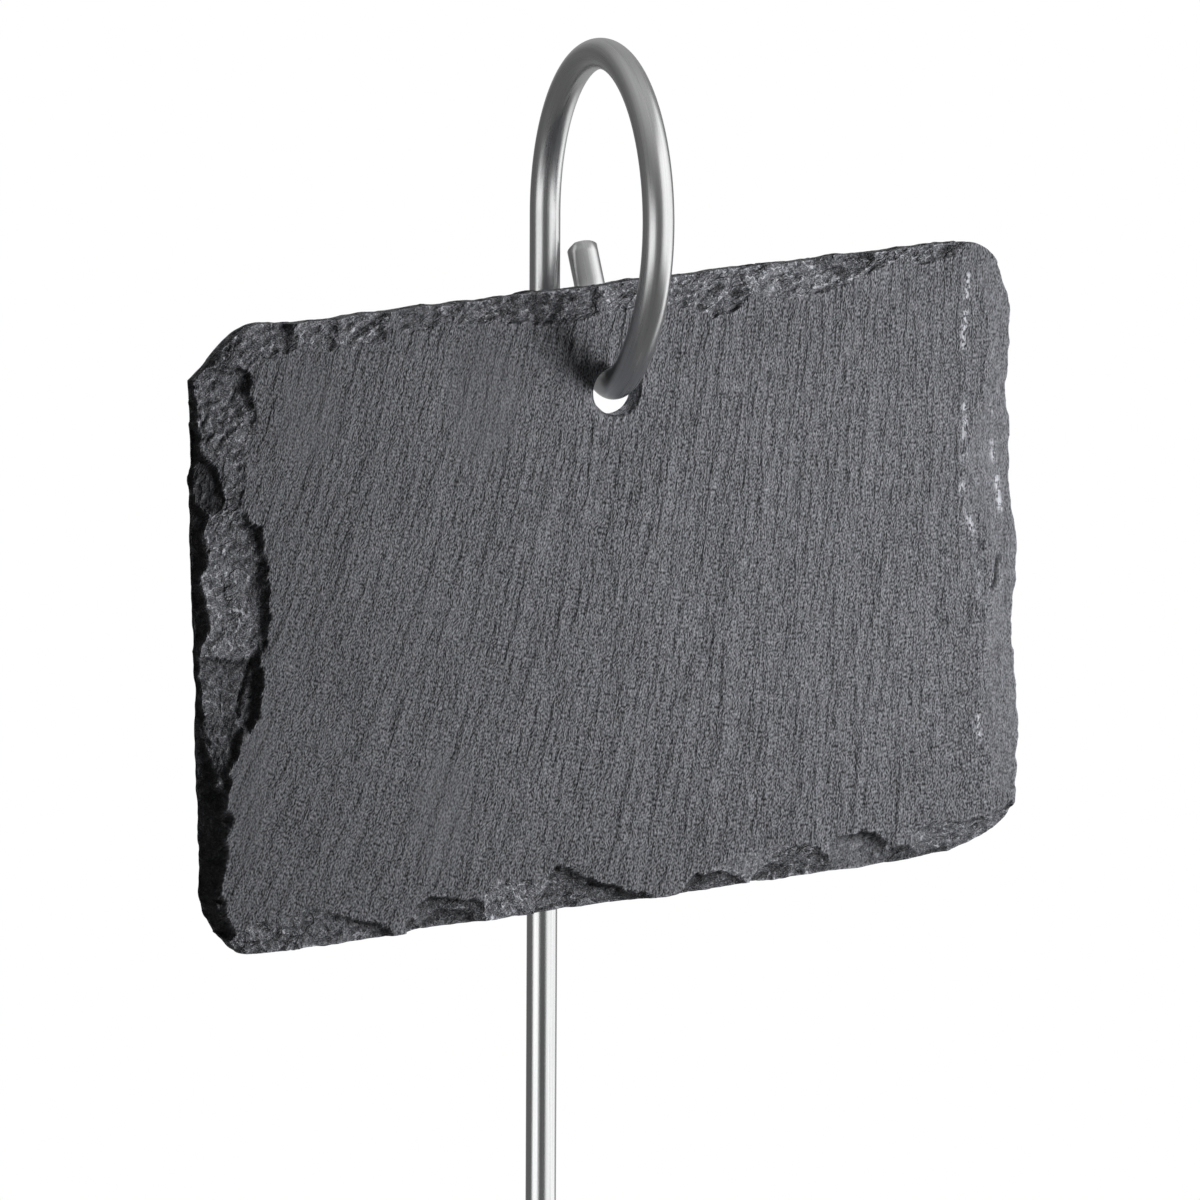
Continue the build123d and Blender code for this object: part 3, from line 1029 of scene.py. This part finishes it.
def cleft_at(x, z):
    """How deep the slanting waves and ripples of the cleft face lie."""
    along = CLEFT_WAY[0] * x + CLEFT_WAY[1] * z
    across = CLEFT_WAY[0] * z - CLEFT_WAY[1] * x
    waves = noise(along / CLEFT_WAVES.stretch, across, CLEFT_WAVES.size, seed=31)
    ripples = fractal(along / CLEFT_RIPPLES.stretch, across, CLEFT_RIPPLES.size, octaves=2, seed=32)
    return CLEFT_WAVES.height * waves + CLEFT_RIPPLES.height * ripples


def front_surface(x, z, edges):
    """How far the front lies behind its flat, how much of it is broken and its tone, with painted shade at
    the ledges and on the left rim.
    """
    wandered = [
        place + BORDER_WANDER * fractal(x, z, BORDER_SIZE, octaves=4, seed=seed)
        for place, seed in ((x, 21), (z, 22))
    ]
    depth, rough, tone = scars_at(x, z, wandered, edges)
    broken = smoothstep(*BROKEN_DEPTHS, depth)
    depth = layered(depth, broken, x, z) + broken * rough * shards_at(x, z)
    deepest = SLATE_T - THINNEST_EDGE
    share = left_rim_at(z, wandered, edges)
    depth = depth + (deepest - depth) * share**RIM_CURVE
    on_rim = smoothstep(0, RIM_START, share)
    # Painted shade: the left rim's tone is darkened
    tone = tone * (1 + (RIM_PAINTED_SHADE - 1) * on_rim)
    rough = np.maximum(rough * broken, RIM_ROUGH * on_rim)
    for crack in CRACKS:
        away = line_distance(*wandered, crack.points)
        depth = depth + crack.depth * np.exp(-((away / crack.half_width) ** 2))
    depth = depth + cleft_at(x, z)
    return np.clip(depth, -PROUDEST, deepest), np.minimum(1, rough), tone


def fleck_at(x, z):
    """How strongly pale mica shows."""
    away = np.minimum.reduce([line_distance(x, z, line) for line in FLECK_LINES])
    patches = smoothstep(0, FLECK_FULL, fractal(x, z, FLECK_PATCH, octaves=2, seed=71))
    return patches * np.exp(-((away / FLECK_SPREAD) ** 2))


def calm_at(x, z):
    """How calm the face is: in patches, a little towards its left end, and in the right scar."""
    calm = LEFT_CALM * smoothstep(*LEFT_CALM_FROM, x)
    for px, pz, half_x, half_z in CALM_PATCHES:
        away = np.hypot((x - px) / half_x, (z - pz) / half_z)
        calm = np.maximum(calm, PATCH_CALM * smoothstep(*PATCH_FADE, away))
    for scar in SCARS:
        if scar.edge == "right":
            border_x, border_z, _ = np.array(scar.border).T
            inside = x - np.interp(z, border_z, border_x)
            calm = np.maximum(calm, RIGHT_CALM * smoothstep(*RIGHT_CALM_FROM, inside))
    return calm


def back_depth(x, z):
    """How far the back lies in from its flat: gentle cleft relief."""
    return BACK_INSET + BACK_RELIEF * fractal(x, z, BACK_SIZE, octaves=4, seed=41)


def rim_break(angle):
    """How far the front rim of the hole is broken away at angles round it; it is chipped at one place."""
    away = (angle - RIM_CHIP_AT + pi) % (2 * pi) - pi
    return HOLE_BREAK + RIM_CHIP * np.exp(-((away / RIM_CHIP_SPREAD) ** 2))


def slate_hole():
    """Centre (x, z) of the hole, where the ring's lowest point carries the slate."""
    places = wire_line()[0]
    front_places = places[places[:, 1] < -RING_R / 2]
    lowest = front_places[np.argmin(front_places[:, 2])]
    return np.array((lowest[0], lowest[2] + WIRE_R + SEAT_GAP - HOLE_R))


def hole_block(grid, hole):
    """First and last row and column of the grid round the hole; even, because the back has every second."""
    near = np.hypot(grid[..., 0] - hole[0], grid[..., 1] - hole[1]) < RIM_CLEAR
    rows = np.flatnonzero(near.any(axis=1))
    columns = np.flatnonzero(near.any(axis=0))
    first_last = [(found[0] - 1, found[-1] + 2) for found in (rows, columns)]
    return np.ravel(first_last) // 2 * 2


def ring_of(block):
    """Indices of a block's border, in order round it."""
    return np.concatenate((block[0, :-1], block[:-1, -1], block[-1, :0:-1], block[:0:-1, 0]))


def slate_side(skin, points, block, hole, depth_of, face_y, inward):
    """Front or back: a grid with a round hole. Returns its border, the hole's rim and the rim's angles."""

    def add(x, z):
        """Adds vertices of this side and returns their numbers."""
        return skin.add(x, face_y + inward * depth_of(x, z), z)

    is_back = inward < 0
    grid = add(points[..., 0], points[..., 1])
    skin.quads(grid, block, is_back)
    before = ring_of(grid[block[0]:block[1] + 1, block[2]:block[3] + 1])
    start = skin.spots(before)[:, (0, 2)]
    away_x, away_z = (start - hole).T
    angle = np.arctan2(away_z, away_x)
    rim_r = HOLE_R + (0 * angle + HOLE_BREAK if is_back else rim_break(angle))
    rim = hole + np.column_stack((rim_r * np.cos(angle), rim_r * np.sin(angle)))
    for share in np.linspace(0, 1, RIM_ROWS + 1)[1:]:
        row = add(*(start * (1 - share) + rim * share).T)
        skin.band(before, row, is_back)
        before = row
    return ring_of(grid), before, angle


def slate_wall(skin, border, back_border):
    """Ragged wall round the slate, from the border of its front to that of its back."""
    spots = skin.spots(border)
    far_y = np.repeat(skin.spots(back_border)[:, 1], 2)
    run = run_along(spots)
    steps = np.roll(spots, -1, axis=0) - np.roll(spots, 1, axis=0)
    out = unit(np.column_stack((steps[:, 2], -steps[:, 0])))
    before = border
    for share in np.linspace(0, 1, WALL_ROWS + 1)[1:-1]:
        y = spots[:, 1] * (1 - share) + far_y * share
        jut = WALL_ROUGH * fractal(run, WALL_LAYERS * y, WALL_GRAIN, octaves=3, seed=51) + WALL_BULGE
        jut = jut * sin(pi * share)
        row = skin.add(spots[:, 0] + out[:, 0] * jut, y, spots[:, 2] + out[:, 1] * jut)
        skin.band(before, row, flip=True)
        before = row
    skin.band(before, back_border, flip=True)


def slate_bore(skin, rim, angle, back_rim, hole, back_y):
    """Wall of the hole, from its broken front rim to the back."""
    start_y = skin.spots(rim)[:, 1] + RIM_FALL * rim_break(angle)
    before = rim
    for share in np.linspace(0, 1, BORE_ROWS):
        bumps = fractal(angle * HOLE_R, share * SLATE_T, BORE_GRAIN, octaves=2, seed=61)
        radius = HOLE_R + BORE_ROUGH * bumps
        y = start_y + share * (back_y - HOLE_BREAK - start_y)
        row = skin.add(hole[0] + radius * np.cos(angle), y, hole[1] + radius * np.sin(angle))
        skin.band(before, row)
        before = row
    skin.band(before, back_rim)


def slate_looks(piece, spots, faces, edges, hole, front_y, back_y):
    """Shades broken faces flat, and stores what the material asks of each vertex."""
    x, y, z = spots.T
    depth, broken, tone = front_surface(x, z, edges)
    smooth = [max(broken[i] for i in face) < SHARP_FROM for face in faces]
    piece.data.polygons.foreach_set("use_smooth", smooth)
    in_front = y < front_y + depth + FRONT_SKIN
    in_back = y > back_y - BACK_SKIN
    away_x, away_z = x - hole[0], z - hole[1]
    rim_y = front_y + depth + RIM_FALL * rim_break(np.arctan2(away_z, away_x))
    drilled = (np.hypot(away_x, away_z) < HOLE_R + DRILLED_MARGIN) & (y > rim_y + DRILLED_START)
    # The hole's wall is paler with drill dust and with painted light
    wall_tone = np.where(drilled, DRILLED_DUST_AND_LIGHT, WALL_TONE)
    store(piece, "chip", np.where(in_front, broken, np.where(in_back, 0.0, 1.0)))
    store(piece, "tone", np.where(in_front & ~drilled, tone, np.where(in_back, 1.0, wall_tone)))
    store(piece, "calm", calm_at(x, z))
    store(piece, "flaky", smoothstep(*FLAKES_FROM, x))
    store(piece, "fleck", np.where(in_front, fleck_at(x, z), 0.0))
    store(piece, "crest", crest_of(piece))


def slate_plaque(material):
    """Slate with a chipped front, ragged walls, a plain cleft back and a drilled hole."""
    back_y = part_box("slate_plaque")[1].y / MM
    front_y = back_y - SLATE_T
    hole = slate_hole()
    grid, edges = slate_grid()
    block = hole_block(grid, hole)

    def front_depth(x, z):
        """How far the front lies behind its flat."""
        return front_surface(x, z, edges)[0]

    skin = Skin()
    border, rim, angle = slate_side(skin, grid, block, hole, front_depth, front_y, 1)
    back_border, back_rim, _ = slate_side(skin, grid[::2, ::2], block // 2, hole, back_depth, back_y, -1)
    slate_wall(skin, border, back_border)
    slate_bore(skin, rim, angle, back_rim, hole, back_y)
    spots, faces = skin.without_loose()
    piece = new_piece("slate_plaque_visual", spots, faces, material)
    slate_looks(piece, spots, faces, edges, hole, front_y, back_y)
    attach(piece, "plaque")
    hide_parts("slate_plaque")


def crest_of(piece):
    """How far each vertex stands out from its neighbours, from -1 in a groove to 1 on a ridge."""
    mesh = piece.data
    n = len(mesh.vertices)
    spots, normals = np.empty(n * 3), np.empty(n * 3)
    mesh.vertices.foreach_get("co", spots)
    mesh.vertices.foreach_get("normal", normals)
    spots, normals = spots.reshape(-1, 3), normals.reshape(-1, 3)
    pairs = np.empty(len(mesh.edges) * 2, int)
    mesh.edges.foreach_get("vertices", pairs)
    a, b = pairs.reshape(-1, 2).T

    def around(from_a, from_b):
        """Mean over each vertex's edges of a value for the edge's first and second end."""
        total, count = np.zeros(n), np.zeros(n)
        for ends, values in ((a, from_a), (b, from_b)):
            np.add.at(total, ends, values)
            np.add.at(count, ends, 1)
        return total / count

    away = unit(spots[b] - spots[a])
    bend = around(-(away * normals[a]).sum(1), (away * normals[b]).sum(1))
    for _ in range(BEND_PASSES):
        bend = 0.5 * bend + 0.5 * around(bend[b], bend[a])
    return np.clip(bend / FULL_BEND, -1, 1)


# Stage, light and camera


def seen_by_camera(tree):
    """1 for rays from the camera, also through something clear, and 0 for others."""
    kinds = ("Is Camera Ray", "Is Transmission Ray")
    return maths(tree, "MAXIMUM", *(made(tree, "LightPath", kind, {}) for kind in kinds))


def chosen(tree, share, first, second):
    """Blend of two shaders."""
    return made(tree, "MixShader", "Shader", {0: share, 1: first, 2: second})


def studio_floor():
    """Pale disc under the point; away from the part it is as white as the background."""
    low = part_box("wire_stake")[0].z
    bpy.ops.mesh.primitive_circle_add(
        vertices=FLOOR_SIDES, radius=FLOOR_R, fill_type="NGON", location=(0, 0, low)
    )
    floor = bpy.context.object
    floor.name = "floor"
    material = bpy.data.materials.new("floor")
    tree = emptied(material)
    place = made(tree, "TexCoord", "Object", {})
    away = made(tree, "VectorMath", "Value", {0: place}, operation="LENGTH")
    whiter = rise(tree, away, *FLOOR_WHITE_FROM, low=FLOOR_LEAST_WHITE)
    share = maths(tree, "MULTIPLY", whiter, seen_by_camera(tree))
    paint = made(tree, "BsdfDiffuse", "BSDF", {"Color": FLOOR_GREY})
    white = made(tree, "Emission", "Emission", {})
    finished(tree, "Material", chosen(tree, share, paint, white))
    floor.data.materials.append(material)
    floor.visible_glossy = False


def around_metal(tree):
    """Level of the studio that metal sees each way: bright panels and darker bays."""

    def between(value, low, high):
        """1 between two angles in degrees, 0 outside and blurred at both ends."""
        ends = [(radians(angle - PANEL_BLUR), radians(angle + PANEL_BLUR)) for angle in (low, high)]
        return maths(tree, "SUBTRACT", *(rise(tree, value, *end) for end in ends))

    way = made(tree, "TexCoord", "Generated", {})
    towards = maths(tree, "MULTIPLY", part(tree, way, "Y"), -1.0)
    bearing = maths(tree, "ADD", maths(tree, "ARCTAN2", part(tree, way, "X"), towards), CAMERA_YAW)
    height = maths(tree, "ARCSINE", part(tree, way, "Z"))
    overhead = rise(tree, height, *CEILING_FROM)
    behind = rise(tree, maths(tree, "ABSOLUTE", bearing), *BEHIND_FROM)
    level = mixed(tree, behind, mixed(tree, overhead, FRONT_LEVEL, CEILING_LEVEL), BEHIND_LEVEL)
    for panel in PANELS:
        beside = between(bearing, panel.left, panel.right)
        seen = maths(tree, "MULTIPLY", beside, between(height, panel.low, panel.high))
        level = maths(tree, "MULTIPLY_ADD", seen, panel.level, level)
    return level


def studio_world():
    """White background; metal sees panels and bays instead, and the rest gets a low even light."""
    world = bpy.data.worlds.new("studio")
    bpy.context.scene.world = world
    tree = emptied(world)

    def background(colour, strength=1.0):
        """Background shader's output."""
        return made(tree, "Background", "Background", {"Color": colour, "Strength": strength})

    glossy = made(tree, "LightPath", "Is Glossy Ray", {})
    lit = chosen(tree, glossy, background(WHITE, AMBIENT), background(around_metal(tree)))
    finished(tree, "World", chosen(tree, seen_by_camera(tree), lit, background(WHITE)))


def studio_lamps():
    """Soft boxes: two close by in front, to the right, one above and one high behind."""
    low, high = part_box("slate_plaque")
    aim = (low + high) / 2
    for lamp in LAMPS:
        data = bpy.data.lights.new(lamp.name, "AREA")
        data.shape = "RECTANGLE"
        data.size, data.size_y = lamp.size
        data.energy = lamp.power
        data.spread = LAMP_SPREAD
        box = bpy.data.objects.new(lamp.name, data)
        bpy.context.scene.collection.objects.link(box)
        level = cos(lamp.height)
        away = Vector((sin(lamp.bearing) * level, -cos(lamp.bearing) * level, sin(lamp.height)))
        box.location = aim + away * lamp.distance
        box.rotation_euler = (-away).to_track_quat("-Z", "Y").to_euler()
        box.visible_camera = False
        box.visible_glossy = False


def photo_camera():
    """Camera at the photograph's viewing angle."""
    forward = Vector((
        sin(CAMERA_YAW) * cos(CAMERA_PITCH),
        cos(CAMERA_YAW) * cos(CAMERA_PITCH),
        -sin(CAMERA_PITCH),
    ))
    right = Vector((cos(CAMERA_YAW), -sin(CAMERA_YAW), 0))
    up = right.cross(forward)
    tilted_right = right * cos(CAMERA_ROLL) + up * sin(CAMERA_ROLL)
    tilted_up = up * cos(CAMERA_ROLL) - right * sin(CAMERA_ROLL)
    data = bpy.data.cameras.new("camera")
    data.lens = LENS_MM
    data.sensor_width = SENSOR_MM
    camera = bpy.data.objects.new("camera", data)
    bpy.context.scene.collection.objects.link(camera)
    turn = Matrix((tilted_right, tilted_up, -forward)).transposed().to_4x4()
    camera.matrix_world = Matrix.Translation(CAMERA_AIM - forward * CAMERA_DISTANCE) @ turn
    bpy.context.scene.camera = camera


bpy.context.scene.view_settings.view_transform = "Standard"
wire_stake(steel_material())
slate_plaque(slate_material())
studio_floor()
studio_world()
studio_lamps()
photo_camera()
